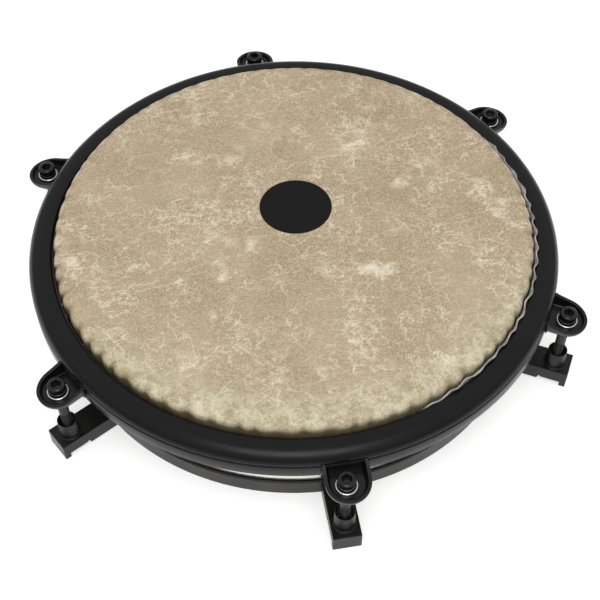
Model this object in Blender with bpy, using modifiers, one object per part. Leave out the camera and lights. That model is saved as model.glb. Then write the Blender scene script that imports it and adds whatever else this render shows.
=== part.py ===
"""A low-profile conga: a film head on a shallow round shell, tuned by six bolts.

Lengths are in metres, +Z is up. The drum stands on the heels of its six feet,
and the origin is on the drum's axis at the level of those heels.
Run it with: blender --background --python part.py
"""
import math

import bmesh
import bpy
from mathutils import Matrix, Vector

# Clearances
SEAT_GAP = 0.0003          # between faces that touch on the real drum
THREAD_GAP = 0.0003        # radial play of a thread, and of a screw in its hole
WASHER_GAP = 0.0003        # radial, in a washer
EAR_HOLE_GAP = 0.0005      # radial, in an ear
SLIDE_GAP = 0.00035        # radial play between the head's collar and its hem

# The six lugs
LUG_COUNT = 6
FIRST_LUG_DEG = -90.0      # the front lug lies on -Y

# Shell and base ring
SHELL_RADIUS = 0.1398      # outside
SHELL_WALL = 0.0030
SHELL_HEIGHT = 0.0694
BEARING_EDGE_RADIUS = 0.0020
RING_WALL = 0.0014
RING_HEIGHT = 0.0114
RING_CLEARANCE = 0.0007    # from the floor to the ring's lower edge

# Drum head
FILM_THICKNESS = 0.0006
PLEAT_DEPTH = 0.0019
PLEAT_COUNT = 72
PLEAT_DROP = 0.0065        # from the playing surface to the fullest part of the pleats
FLESH_WIRE_RADIUS = 0.00275
WIRE_ROOM = 0.00075        # from the hoop's inner edge to the wire
HEM_STAND = 0.0011         # how far the cut edge stands above the hoop
HEM_WAVE = 0.0004
PLEATS_PER_WAVE = 3

# Counterhoop
HOOP_DROP = 0.0054         # from the playing surface to the top of the hoop
HOOP_WIDTH = 0.01405
HOOP_SHEET = 0.0028
HOOP_NOSE = 0.0015         # rounding of the hoop's inner edge
HOOP_CROWN = 0.0050        # the nearly flat inner part of the hoop's top
HOOP_ROLL = 0.0075         # height of the rolled shoulder
SKIRT_HEIGHT = 0.0088
CREASE_DEPTH = 0.0008

# Ears welded to the counterhoop
EAR_SHEET = 0.0020
EAR_LIFT = 0.0007          # from the hoop's lower edge to the ear's underside
EAR_TIP_HEIGHT = 0.0045    # of the rim, above the ear's underside
EAR_ROOT_HEIGHT = 0.0096   # the same where the ear meets the hoop
EAR_LIP = 0.0008           # upright edge of the rim
EAR_DISH = 0.0038          # how far the outside is drawn in below the lip
EAR_FLOOR_CURVE = 0.0018   # how far the inside is drawn in
EAR_ROOM = 0.0042          # from the washer's edge to the inside of the rim
EAR_SETBACK = 0.0009       # of the ear's middle from the bolt, towards the drum

# Tension bolts and washers
BOLT_RADIUS = 0.0030
BOLT_HEAD_RADIUS = 0.0050
BOLT_HEAD_HEIGHT = 0.0060
BOLT_CHAMFER = 0.0005
SOCKET_ACROSS_FLATS = 0.0050
SOCKET_DEPTH = 0.0030
WASHER_RADIUS = 0.0062
WASHER_THICKNESS = 0.0015
WASHER_ROOM = 0.0034       # from the washer's edge to the hoop
THREAD_ENGAGEMENT = 0.0060

# Feet, with the boss that each bolt screws into
FOOT_HEIGHT = 0.0088
FOOT_SHOULDER = 0.0004     # flat left on each side of the boss's fillet
FOOT_LEDGE = 0.0020        # flat left beyond the boss's fillet
HEEL_DROP = 0.0034
HEEL_LENGTH = 0.0037
ARM_DROP = 0.0020          # how much lower the arm's underside is beside the drum
NOTCH_OFFSET = 0.0066      # from the bolt's axis towards the drum
NOTCH_WIDTH = 0.0024
NOTCH_DEPTH = 0.0010
BOSS_HEIGHT = 0.0119
BOSS_WALL = 0.0008
BOSS_DRAFT = 0.0005
BOSS_FILLET = 0.0016
BORE_FLOOR = 0.0014        # metal left under the boss's bore
INSERT_RADIUS = 0.0045
INSERT_HEIGHT = 0.0100

# Screws that hold each foot, the base ring and the shell together
SCREW_RADIUS = 0.0025
SCREW_HEAD_RADIUS = 0.0045
SCREW_HEAD_HEIGHT = 0.0030
SCREW_HEAD_ROUNDING = 0.0012
SCREW_ENGAGEMENT = 0.0120

# Facets
RING_STEPS = 72
BOLT_STEPS = 16
SMALL_STEPS = 12
WIRE_STEPS = 8
ARC_STEP_DEG = 30.0
WIRE_STEP_DEG = 360.0 / WIRE_STEPS
SHARP_DEG = 30.0
MERGE_DISTANCE = 0.00001
CUT_MARGIN = 0.0020        # how far a cutter reaches past the face that it cuts

# Levels above the floor
FOOT_TOP_Z = HEEL_DROP + FOOT_HEIGHT
BOSS_TOP_Z = FOOT_TOP_Z + BOSS_HEIGHT
RING_BOTTOM_Z = RING_CLEARANCE
RING_TOP_Z = RING_BOTTOM_Z + RING_HEIGHT
SHELL_TOP_Z = RING_BOTTOM_Z + SHELL_HEIGHT
FILM_TOP_Z = SHELL_TOP_Z + SEAT_GAP + FILM_THICKNESS
HOOP_TOP_Z = FILM_TOP_Z - HOOP_DROP
CREASE_Z = HOOP_TOP_Z - HOOP_ROLL
HOOP_BOTTOM_Z = CREASE_Z - SKIRT_HEIGHT
EAR_BOTTOM_Z = HOOP_BOTTOM_Z + EAR_LIFT
EAR_FLOOR_Z = EAR_BOTTOM_Z + EAR_SHEET
WASHER_Z = EAR_FLOOR_Z + SEAT_GAP
BOLT_SEAT_Z = WASHER_Z + WASHER_THICKNESS + SEAT_GAP
BORE_BOTTOM_Z = HEEL_DROP + BORE_FLOOR
INSERT_Z = BORE_BOTTOM_Z + SEAT_GAP
BOLT_END_Z = INSERT_Z + INSERT_HEIGHT - THREAD_ENGAGEMENT
WIRE_Z = HOOP_TOP_Z - HOOP_SHEET - 2 * SEAT_GAP - FILM_THICKNESS - FLESH_WIRE_RADIUS
ARM_BOTTOM_Z = HEEL_DROP - ARM_DROP
SCREW_Z = (max(RING_BOTTOM_Z, ARM_BOTTOM_Z) + min(RING_TOP_Z, FOOT_TOP_Z)) / 2

# Radii from the drum's axis
SHELL_INNER_R = SHELL_RADIUS - SHELL_WALL
EDGE_R = min(BEARING_EDGE_RADIUS, SHELL_WALL)
RING_INNER_R = SHELL_RADIUS + SEAT_GAP
RING_OUTER_R = RING_INNER_R + RING_WALL
FOOT_SEAT_R = RING_OUTER_R + SEAT_GAP
PLEAT_OUTER_R = SHELL_RADIUS + SEAT_GAP + FILM_THICKNESS + PLEAT_DEPTH
HEM_R = PLEAT_OUTER_R + SLIDE_GAP + FILM_THICKNESS / 2
HOOP_INNER_R = HEM_R + FILM_THICKNESS / 2 + SEAT_GAP
HOOP_OUTER_R = HOOP_INNER_R + HOOP_WIDTH
FLESH_WIRE_R = HOOP_INNER_R + WIRE_ROOM + FLESH_WIRE_RADIUS
BOLT_CIRCLE_R = HOOP_OUTER_R + WASHER_ROOM + WASHER_RADIUS
EAR_SEAT_R = HOOP_OUTER_R + SEAT_GAP
SCREW_SEAT_R = SHELL_INNER_R - SEAT_GAP
SCREW_TIP_R = FOOT_SEAT_R + SCREW_ENGAGEMENT

# Radii from the bolt's axis
EAR_RADIUS = WASHER_RADIUS + EAR_ROOM + EAR_SHEET
EAR_ROOT_X = HOOP_OUTER_R - HOOP_SHEET / 2 - BOLT_CIRCLE_R
EAR_TIP_X = EAR_RADIUS - EAR_SETBACK
BORE_RADIUS = INSERT_RADIUS + SEAT_GAP
BOSS_TOP_R = BORE_RADIUS + BOSS_WALL
BOSS_BASE_R = BOSS_TOP_R + BOSS_DRAFT
BOSS_FOOT_R = BOSS_BASE_R + BOSS_FILLET

# Material name: colour, roughness, metallic
MATERIALS = {
    "film": ((0.52, 0.41, 0.26), 0.55, 0.0),
    "film_edge": ((0.60, 0.58, 0.54), 0.45, 0.0),
    "black_hoop": ((0.014, 0.014, 0.015), 0.38, 0.6),
    "black_casting": ((0.017, 0.017, 0.018), 0.45, 0.5),
    "black_bolt": ((0.012, 0.012, 0.013), 0.30, 0.8),
    "zinc_steel": ((0.72, 0.72, 0.73), 0.28, 1.0),
    "shell_metal": ((0.80, 0.79, 0.76), 0.30, 1.0),
    "ring_grey": ((0.065, 0.063, 0.064), 0.45, 0.4),
}


def lug_angle(index):
    """Angle of a lug about the drum's axis, in radians."""
    return math.radians(FIRST_LUG_DEG + index * 360.0 / LUG_COUNT)


def polar(radius, angle, z=0.0):
    """A point at a radius and angle about the drum's axis."""
    return Vector((radius * math.cos(angle), radius * math.sin(angle), z))


def arc(centre, radius, start_deg, end_deg, step_deg=ARC_STEP_DEG):
    """Points on an arc in a profile's plane, at equal angles."""
    count = max(1, round(abs(end_deg - start_deg) / step_deg))
    angles = [math.radians(start_deg + (end_deg - start_deg) * i / count) for i in range(count + 1)]
    return [(centre[0] + radius * math.cos(a), centre[1] + radius * math.sin(a)) for a in angles]


def clear_scene():
    for obj in list(bpy.data.objects):
        bpy.data.objects.remove(obj, do_unlink=True)


def new_collection(name):
    collection = bpy.data.collections.new(name)
    bpy.context.scene.collection.children.link(collection)
    return collection


def make_material(name):
    colour, roughness, metallic = MATERIALS[name]
    material = bpy.data.materials.new(name)
    material.use_nodes = True
    shader = material.node_tree.nodes["Principled BSDF"]
    shader.inputs["Base Color"].default_value = (*colour, 1.0)
    shader.inputs["Roughness"].default_value = roughness
    shader.inputs["Metallic"].default_value = metallic
    return material


def add_object(name, mesh, collection, matrix=Matrix.Identity(4)):
    obj = bpy.data.objects.new(name, mesh)
    collection.objects.link(obj)
    obj.matrix_world = matrix
    return obj


def add_part(name, mesh, material_name, matrix=Matrix.Identity(4)):
    """One piece of the drum, in the drum's collection."""
    if not mesh.materials:
        mesh.materials.append(materials[material_name])
    return add_object(name, mesh, drum, matrix)


def turned(name, profile, steps, collection, closed=False):
    """A profile of (radius, height) points, turned about Z by a Screw modifier.

    The profile runs down its outer side; a closed one makes a ring.
    """
    count = len(profile)
    mesh = bpy.data.meshes.new(name)
    edges = [(i, i + 1) for i in range(count - 1)]
    if closed:
        edges.append((count - 1, 0))
    mesh.from_pydata([(radius, 0.0, height) for radius, height in profile], edges, [])
    obj = add_object(name, mesh, collection)
    screw = obj.modifiers.new("Turn", "SCREW")
    screw.axis = "Z"
    screw.angle = math.tau
    screw.steps = steps
    screw.render_steps = steps
    screw.use_merge_vertices = True
    screw.merge_threshold = MERGE_DISTANCE
    return obj


def solidify(obj, thickness, offset):
    modifier = obj.modifiers.new("Thickness", "SOLIDIFY")
    modifier.thickness = thickness
    modifier.offset = offset


def combine(obj, tool, operation):
    """Cut the tool from the object, or join it on."""
    modifier = obj.modifiers.new(tool.name, "BOOLEAN")
    modifier.operation = operation
    modifier.solver = "EXACT"
    modifier.object = tool


def machined(blank, cutters, name):
    """The blank's mesh with the cutters taken out of it; all of the objects are removed."""
    for cutter in cutters:
        combine(blank, cutter, "DIFFERENCE")
    mesh = take_mesh(blank, name)
    smooth(mesh)
    for cutter in cutters:
        bpy.data.objects.remove(cutter, do_unlink=True)
    return mesh


def take_mesh(obj, name):
    """The object's shape as one mesh; the object itself is removed."""
    bpy.context.view_layer.update()
    evaluated = obj.evaluated_get(bpy.context.evaluated_depsgraph_get())
    mesh = bpy.data.meshes.new_from_object(evaluated)
    mesh.name = name
    mesh.materials.clear()
    weld(mesh)
    bpy.data.objects.remove(obj, do_unlink=True)
    return mesh


def weld(mesh):
    work = bmesh.new()
    work.from_mesh(mesh)
    bmesh.ops.remove_doubles(work, verts=work.verts, dist=MERGE_DISTANCE)
    work.to_mesh(mesh)
    work.free()


def smooth(mesh):
    mesh.shade_smooth()
    mesh.set_sharp_from_angle(angle=math.radians(SHARP_DEG))


def plate(name, outline, low, high, collection):
    """A closed outline in X and Y, filled and extruded from one height to another."""
    curve = bpy.data.curves.new(name, "CURVE")
    curve.dimensions = "2D"
    curve.fill_mode = "BOTH"
    curve.extrude = (high - low) / 2
    spline = curve.splines.new("POLY")
    spline.points.add(len(outline) - 1)
    for point, (x, y) in zip(spline.points, outline):
        point.co = (x, y, 0.0, 1.0)
    spline.use_cyclic_u = True
    mesh = take_mesh(add_object(name, curve, collection), name)
    bpy.data.curves.remove(curve)
    mesh.transform(Matrix.Translation((0.0, 0.0, (low + high) / 2)))
    return add_object(name, mesh, collection)


def cylinder(name, radius, low, high, steps, collection, axis_matrix=Matrix.Identity(4)):
    """A capped cylinder along Z, moved by a matrix before it becomes a mesh."""
    work = bmesh.new()
    centre = Matrix.Translation((0.0, 0.0, (low + high) / 2))
    bmesh.ops.create_cone(
        work, cap_ends=True, segments=steps, radius1=radius, radius2=radius,
        depth=high - low, matrix=axis_matrix @ centre)
    mesh = bpy.data.meshes.new(name)
    work.to_mesh(mesh)
    work.free()
    return add_object(name, mesh, collection)


def hide_cutter(obj):
    obj.hide_render = True
    obj.display_type = "WIRE"


def lug_matrix(index, radius=BOLT_CIRCLE_R, z=0.0):
    """Frame of a lug: origin at the radius, +X away from the drum's axis."""
    angle = lug_angle(index)
    return Matrix.Translation(polar(radius, angle, z)) @ Matrix.Rotation(angle, 4, "Z")


def drum_head():
    """The playing surface, turned down over the bearing edge into a pleated collar."""
    bend = EDGE_R + SEAT_GAP + FILM_THICKNESS
    centre = (SHELL_RADIUS - EDGE_R, SHELL_TOP_Z - EDGE_R)
    mean_r = PLEAT_OUTER_R - PLEAT_DEPTH / 2
    profile = [(0.0, FILM_TOP_Z)]
    profile += arc(centre, bend, 90.0, 30.0)
    profile += [(mean_r, FILM_TOP_Z - PLEAT_DROP), (mean_r, WIRE_Z - hem_ply_radius())]
    mesh = take_mesh(turned("head_film", profile, 2 * PLEAT_COUNT, tools), "head_film")
    for vertex in mesh.vertices:
        if vertex.co.xy.length > centre[0] + bend:
            angle = math.atan2(vertex.co.y, vertex.co.x)
            radius = mean_r + PLEAT_DEPTH / 2 * math.cos(PLEAT_COUNT * angle)
            vertex.co.xy = polar(radius, angle).xy
    smooth(mesh)
    solidify(add_part("head_film", mesh, "film"), FILM_THICKNESS, -1.0)


def hem_ply_radius():
    """From the flesh hoop's middle to the middle of the film wrapped round it."""
    return FLESH_WIRE_RADIUS + SEAT_GAP + FILM_THICKNESS / 2


def film_hem():
    """The film's edge, turned round the flesh hoop, with its wavy cut edge standing up."""
    ply = hem_ply_radius()
    waves = round(PLEAT_COUNT / PLEATS_PER_WAVE)
    profile = [(HEM_R, HOOP_TOP_Z + HEM_STAND), (HEM_R, WIRE_Z + ply)]
    profile += arc((FLESH_WIRE_R, WIRE_Z), ply, 90.0, -90.0, WIRE_STEP_DEG)
    profile += [(HEM_R, WIRE_Z - ply)]
    mesh = take_mesh(turned("film_hem", profile, RING_STEPS, tools), "film_hem")
    for vertex in mesh.vertices:
        if vertex.co.z > HOOP_TOP_Z:
            angle = math.atan2(vertex.co.y, vertex.co.x)
            vertex.co.z += HEM_WAVE * math.cos(waves * angle)
    smooth(mesh)
    solidify(add_part("film_hem", mesh, "film_edge"), FILM_THICKNESS, 0.0)


def flesh_hoop():
    """A round steel wire ring inside the hem."""
    bpy.ops.mesh.primitive_torus_add(
        major_segments=RING_STEPS, minor_segments=WIRE_STEPS,
        major_radius=FLESH_WIRE_R, minor_radius=FLESH_WIRE_RADIUS)
    mesh = take_mesh(bpy.context.object, "flesh_hoop")
    mesh.shade_smooth()
    add_part("flesh_hoop", mesh, "zinc_steel", Matrix.Translation((0.0, 0.0, WIRE_Z)))


def hoop_shoulder(inset, angles):
    """Points on the hoop's rolled shoulder, or on its inside at an inset."""
    width = HOOP_WIDTH - HOOP_CROWN - inset
    height = HOOP_ROLL - inset
    radians = [math.radians(angle) for angle in angles]
    return [(HOOP_INNER_R + HOOP_CROWN + width * math.cos(a), CREASE_Z + height * math.sin(a))
            for a in radians]


def counterhoop():
    """Rolled steel hoop: a crowned top, a rolled shoulder, a crease and a straight skirt."""
    profile = [(HOOP_INNER_R, HOOP_TOP_Z - HOOP_NOSE),
               (HOOP_INNER_R + HOOP_NOSE, HOOP_TOP_Z - HOOP_NOSE / 4)]
    profile += hoop_shoulder(0.0, (90.0, 63.0, 36.0, 10.0))
    profile += [
        (HOOP_OUTER_R - CREASE_DEPTH, CREASE_Z),
        (HOOP_OUTER_R, CREASE_Z - CREASE_DEPTH),
        (HOOP_OUTER_R, HOOP_BOTTOM_Z),
        (HOOP_OUTER_R - HOOP_SHEET, HOOP_BOTTOM_Z),
        (HOOP_OUTER_R - HOOP_SHEET, CREASE_Z - CREASE_DEPTH),
    ]
    profile += hoop_shoulder(HOOP_SHEET, (45.0, 90.0))
    profile += [(HOOP_INNER_R, HOOP_TOP_Z - HOOP_SHEET)]
    ring = turned("counterhoop", profile, RING_STEPS, tools, closed=True)
    mesh = take_mesh(ring, "counterhoop")
    smooth(mesh)
    add_part("counterhoop", mesh, "black_hoop")


def ear_path(inset):
    """Outline of an ear about the bolt's axis: straight sides and a round tip, open at the hoop."""
    radius = EAR_RADIUS - inset
    tip = arc((-EAR_SETBACK, 0.0), radius, -90.0, 90.0, 22.5)
    steps = [EAR_ROOT_X + (-EAR_SETBACK - EAR_ROOT_X) * share for share in (0.0, 0.35, 0.7)]
    return [(x, -radius) for x in steps] + tip + [(x, radius) for x in reversed(steps)]


def ear_rim_z(x):
    """Height of an ear's rim, which climbs from the tip to the hoop."""
    share = (EAR_TIP_X - x) / (EAR_TIP_X - EAR_ROOT_X)
    climb = (EAR_ROOT_HEIGHT - EAR_TIP_HEIGHT) * share ** 1.5
    return EAR_BOTTOM_Z + EAR_TIP_HEIGHT + climb


def ear_sections():
    """Rows of points from the underside, over the rim, to the floor inside the cup."""
    rows = []
    for turn in (0.0, math.pi / 4, math.pi / 2):
        inset = EAR_DISH * (1 - math.sin(turn))
        climb = 1 - math.cos(turn)
        rows.append([(x, y, EAR_BOTTOM_Z + (ear_rim_z(x) - EAR_LIP - EAR_BOTTOM_Z) * climb)
                     for x, y in ear_path(inset)])
    rows.append([(x, y, ear_rim_z(x)) for x, y in ear_path(0.0)])
    rows.append([(x, y, ear_rim_z(x)) for x, y in ear_path(EAR_SHEET)])
    rows.append([(x, y, EAR_FLOOR_Z) for x, y in ear_path(EAR_SHEET + EAR_FLOOR_CURVE)])
    return rows


def ear_blank():
    """A loft through an ear's sections, closed below, inside and at the hoop."""
    work = bmesh.new()
    rows = [[work.verts.new(point) for point in row] for row in ear_sections()]
    for low, high in zip(rows, rows[1:]):
        for i in range(len(low) - 1):
            work.faces.new((low[i], low[i + 1], high[i + 1], high[i]))
    work.faces.new(rows[0])
    work.faces.new(rows[-1])
    work.faces.new([row[0] for row in rows] + [row[-1] for row in reversed(rows)])
    bmesh.ops.recalc_face_normals(work, faces=work.faces)
    mesh = bpy.data.meshes.new("ear_blank")
    work.to_mesh(mesh)
    work.free()
    return add_object("ear_blank", mesh, tools)


def hoop_ears():
    """Dished ears, welded to the hoop's skirt, that the bolts pull down on."""
    low = EAR_BOTTOM_Z - CUT_MARGIN
    high = ear_rim_z(EAR_ROOT_X) + CUT_MARGIN
    hole = cylinder("ear_hole", BOLT_RADIUS + EAR_HOLE_GAP, low, high, SMALL_STEPS, tools)
    to_drum_axis = Matrix.Translation((-BOLT_CIRCLE_R, 0.0, 0.0))
    seat = cylinder("ear_seat", EAR_SEAT_R, low, high, RING_STEPS, tools, to_drum_axis)
    mesh = machined(ear_blank(), (hole, seat), "hoop_ear")
    for index in range(LUG_COUNT):
        add_part(f"hoop_ear_{index + 1}", mesh, "black_hoop", lug_matrix(index))


def bolt_washers():
    inner = BOLT_RADIUS + WASHER_GAP
    profile = [(inner, WASHER_THICKNESS), (WASHER_RADIUS, WASHER_THICKNESS),
               (WASHER_RADIUS, 0.0), (inner, 0.0)]
    mesh = take_mesh(turned("bolt_washer", profile, SMALL_STEPS, tools, closed=True), "bolt_washer")
    smooth(mesh)
    for index in range(LUG_COUNT):
        add_part(f"bolt_washer_{index + 1}", mesh, "zinc_steel", lug_matrix(index, z=WASHER_Z))


def tension_bolts():
    """Socket-head bolts; each one's origin is on its own axis, under its head."""
    length = BOLT_SEAT_Z - BOLT_END_Z
    profile = [
        (0.0, BOLT_HEAD_HEIGHT),
        (BOLT_HEAD_RADIUS - BOLT_CHAMFER, BOLT_HEAD_HEIGHT),
        (BOLT_HEAD_RADIUS, BOLT_HEAD_HEIGHT - BOLT_CHAMFER),
        (BOLT_HEAD_RADIUS, 0.0),
        (BOLT_RADIUS, 0.0),
        (BOLT_RADIUS, BOLT_CHAMFER - length),
        (BOLT_RADIUS - BOLT_CHAMFER, -length),
        (0.0, -length),
    ]
    blank = turned("bolt_blank", profile, BOLT_STEPS, tools)
    corner_radius = SOCKET_ACROSS_FLATS / 2 / math.cos(math.pi / 6)
    socket = cylinder("bolt_socket", corner_radius, BOLT_HEAD_HEIGHT - SOCKET_DEPTH,
                      BOLT_HEAD_HEIGHT + CUT_MARGIN, 6, tools)
    mesh = machined(blank, (socket,), "tension_bolt")
    for index in range(LUG_COUNT):
        add_part(f"tension_bolt_{index + 1}", mesh, "black_bolt", lug_matrix(index, z=BOLT_SEAT_Z))


def shell():
    """The shallow shell, rounded at the top where the head bends over it."""
    profile = arc((SHELL_RADIUS - EDGE_R, SHELL_TOP_Z - EDGE_R), EDGE_R, 90.0, 0.0, 45.0)
    profile += [(SHELL_RADIUS, RING_BOTTOM_Z), (SHELL_INNER_R, RING_BOTTOM_Z),
                (SHELL_INNER_R, SHELL_TOP_Z - EDGE_R / 2)]
    mesh = take_mesh(turned("shell", profile, RING_STEPS, tools, closed=True), "shell")
    smooth(mesh)
    combine(add_part("shell", mesh, "shell_metal"), screw_holes, "DIFFERENCE")


def base_ring():
    """Flat steel band round the shell's lower edge, which the feet are screwed against."""
    profile = [(RING_INNER_R, RING_TOP_Z), (RING_OUTER_R, RING_TOP_Z),
               (RING_OUTER_R, RING_BOTTOM_Z), (RING_INNER_R, RING_BOTTOM_Z)]
    mesh = take_mesh(turned("base_ring", profile, RING_STEPS, tools, closed=True), "base_ring")
    smooth(mesh)
    combine(add_part("base_ring", mesh, "ring_grey"), screw_holes, "DIFFERENCE")


def make_screw_holes():
    """One cutter with a radial pin for each foot's screw."""
    work = bmesh.new()
    low = SHELL_INNER_R - CUT_MARGIN
    high = RING_OUTER_R + CUT_MARGIN
    for index in range(LUG_COUNT):
        matrix = lug_matrix(index, (low + high) / 2, SCREW_Z) @ Matrix.Rotation(math.pi / 2, 4, "Y")
        radius = SCREW_RADIUS + THREAD_GAP
        bmesh.ops.create_cone(work, cap_ends=True, segments=SMALL_STEPS, radius1=radius,
                              radius2=radius, depth=high - low, matrix=matrix)
    mesh = bpy.data.meshes.new("screw_holes")
    work.to_mesh(mesh)
    work.free()
    cutter = add_object("screw_holes", mesh, tools)
    hide_cutter(cutter)
    return cutter


def foot_outline():
    """Side view of a foot, radial by upright, about the bolt's axis."""
    inner = FOOT_SEAT_R - BOLT_CIRCLE_R - CUT_MARGIN
    tip = BOSS_FOOT_R + FOOT_LEDGE
    heel = tip - HEEL_LENGTH
    return [
        (inner, ARM_BOTTOM_Z),
        (-NOTCH_OFFSET - NOTCH_WIDTH / 2, ARM_BOTTOM_Z),
        (-NOTCH_OFFSET, HEEL_DROP + NOTCH_DEPTH),
        (-NOTCH_OFFSET + NOTCH_WIDTH / 2, HEEL_DROP),
        (heel, HEEL_DROP),
        (heel, 0.0),
        (tip, 0.0),
        (tip, FOOT_TOP_Z),
        (inner, FOOT_TOP_Z),
    ]


def lug_feet():
    """Arms with a notch and a heel below, and a boss on top with the bolt's bore."""
    half_width = BOSS_FOOT_R + FOOT_SHOULDER
    block = plate("foot_block", foot_outline(), -half_width, half_width, tools)
    block.data.transform(Matrix.Rotation(math.pi / 2, 4, "X"))
    profile = [(0.0, BOSS_TOP_Z), (BOSS_TOP_R, BOSS_TOP_Z)]
    profile += arc((BOSS_FOOT_R, FOOT_TOP_Z + BOSS_FILLET), BOSS_FILLET, 180.0, 270.0, 45.0)
    profile += [(BOSS_FOOT_R, FOOT_TOP_Z - CUT_MARGIN), (0.0, FOOT_TOP_Z - CUT_MARGIN)]
    boss = turned("foot_boss", profile, SMALL_STEPS, tools)
    bore = cylinder("foot_bore", BORE_RADIUS, BORE_BOTTOM_Z, BOSS_TOP_Z + CUT_MARGIN,
                    SMALL_STEPS, tools)
    to_drum_axis = Matrix.Translation((-BOLT_CIRCLE_R, 0.0, 0.0))
    seat = cylinder("foot_seat", FOOT_SEAT_R, -CUT_MARGIN, FOOT_TOP_Z + CUT_MARGIN,
                    RING_STEPS, tools, to_drum_axis)
    at_screw = to_drum_axis @ Matrix.Translation((0.0, 0.0, SCREW_Z))
    along_foot = at_screw @ Matrix.Rotation(math.pi / 2, 4, "Y")
    tapping = cylinder("foot_tapping", SCREW_RADIUS + THREAD_GAP, FOOT_SEAT_R - CUT_MARGIN,
                       SCREW_TIP_R + SEAT_GAP, SMALL_STEPS, tools, along_foot)
    combine(block, boss, "UNION")
    mesh = machined(block, (bore, seat, tapping), "lug_foot")
    bpy.data.objects.remove(boss, do_unlink=True)
    for index in range(LUG_COUNT):
        add_part(f"lug_foot_{index + 1}", mesh, "black_casting", lug_matrix(index))


def threaded_inserts():
    inner = BOLT_RADIUS + THREAD_GAP
    profile = [(inner, INSERT_HEIGHT), (INSERT_RADIUS, INSERT_HEIGHT),
               (INSERT_RADIUS, 0.0), (inner, 0.0)]
    ring = turned("threaded_insert", profile, SMALL_STEPS, tools, closed=True)
    mesh = take_mesh(ring, "threaded_insert")
    smooth(mesh)
    for index in range(LUG_COUNT):
        add_part(f"threaded_insert_{index + 1}", mesh, "zinc_steel", lug_matrix(index, z=INSERT_Z))


def foot_screws():
    """Pan-head screws from inside the shell, through the ring, into the feet."""
    length = SCREW_TIP_R - SCREW_SEAT_R
    profile = [
        (0.0, SCREW_HEAD_HEIGHT),
        (SCREW_HEAD_RADIUS - SCREW_HEAD_ROUNDING, SCREW_HEAD_HEIGHT),
        (SCREW_HEAD_RADIUS, SCREW_HEAD_HEIGHT - SCREW_HEAD_ROUNDING),
        (SCREW_HEAD_RADIUS, 0.0),
        (SCREW_RADIUS, 0.0),
        (SCREW_RADIUS, -length),
        (0.0, -length),
    ]
    mesh = take_mesh(turned("foot_screw", profile, SMALL_STEPS, tools), "foot_screw")
    smooth(mesh)
    head_inwards = Matrix.Rotation(-math.pi / 2, 4, "Y")
    for index in range(LUG_COUNT):
        matrix = lug_matrix(index, SCREW_SEAT_R, SCREW_Z) @ head_inwards
        add_part(f"foot_screw_{index + 1}", mesh, "zinc_steel", matrix)


clear_scene()
drum = new_collection("conga")
tools = new_collection("cutters")
materials = {name: make_material(name) for name in MATERIALS}
screw_holes = make_screw_holes()
shell()
base_ring()
lug_feet()
threaded_inserts()
foot_screws()
drum_head()
flesh_hoop()
film_hem()
counterhoop()
hoop_ears()
bolt_washers()
tension_bolts()
bpy.context.view_layer.update()
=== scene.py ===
import math

import bmesh
import bpy
from mathutils import Matrix, Vector


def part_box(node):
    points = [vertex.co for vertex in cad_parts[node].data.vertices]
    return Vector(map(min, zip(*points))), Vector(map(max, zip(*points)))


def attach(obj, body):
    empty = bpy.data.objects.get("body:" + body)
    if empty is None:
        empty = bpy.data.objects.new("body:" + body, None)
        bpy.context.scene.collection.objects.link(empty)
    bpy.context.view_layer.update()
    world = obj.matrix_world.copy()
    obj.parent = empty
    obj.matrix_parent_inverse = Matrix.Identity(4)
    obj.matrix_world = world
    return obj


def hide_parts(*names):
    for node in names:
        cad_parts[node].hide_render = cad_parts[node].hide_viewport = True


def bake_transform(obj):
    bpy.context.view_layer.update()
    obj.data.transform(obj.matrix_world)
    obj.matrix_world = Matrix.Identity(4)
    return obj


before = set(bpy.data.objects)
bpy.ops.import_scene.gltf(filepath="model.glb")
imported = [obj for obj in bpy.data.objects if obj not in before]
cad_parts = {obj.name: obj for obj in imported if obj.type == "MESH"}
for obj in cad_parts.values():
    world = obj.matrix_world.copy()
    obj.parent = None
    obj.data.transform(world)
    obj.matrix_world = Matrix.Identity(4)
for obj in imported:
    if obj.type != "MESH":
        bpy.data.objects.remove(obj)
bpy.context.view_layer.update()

# Lengths are in metres; heights are above the floor, radii from the drum's axis.
MM = 0.001

# Camera, aimed at the level of the bolts' heads
CAMERA_AZIMUTH_DEG = -98.868
CAMERA_ELEVATION_DEG = 48.794
CAMERA_DISTANCE = 686.4 * MM
CAMERA_AIM_Z = 60.1 * MM
CAMERA_PAN = -0.00481
CAMERA_TILT = -0.05651
CAMERA_ROLL = -0.01138
CAMERA_LENS_MM = 68.38
SENSOR_MM = 36.0

# Lugs
LUG_COUNT = 6
FIRST_LUG_DEG = -90.0
BOLT_CIRCLE_R = 167.5 * MM

# Film
FILM_THICKNESS = 0.6 * MM
FILM_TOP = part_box("head_film")[1].z
COLLAR_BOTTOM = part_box("head_film")[0].z
PLEAT_COUNT = 72
COLUMNS = 16 * PLEAT_COUNT
BEND_R = 137.8 * MM        # where the flat film starts to bend down
BEND_ACROSS = 3.1 * MM     # of the bend in the deepest hollow
BEND_DOWN = 3.1 * MM
LOBE_ACROSS = 1.4 * MM     # more of each on a lobe
LOBE_DOWN = 2.4 * MM
RIPPLE_DEPTH = 0.12 * MM
RIPPLE_START_R = 132.0 * MM
HOLLOW_POWER = 2.2
PLEAT_DEPTH = 0.8          # of an average pleat, as a share of the deepest
PLEAT_SPREAD = 0.25
SHALLOW_MIDDLE = math.radians(-92.0)   # the pleats are shallower round here
SHALLOW_SHARE = 0.55
SHALLOW_POWER = 6
PLEAT_DRIFT = ((5, 0.9, 1.0), (11, 0.7, 2.3), (17, 0.6, 0.4), (31, 0.4, 1.9), (43, 0.25, 0.2))
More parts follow.
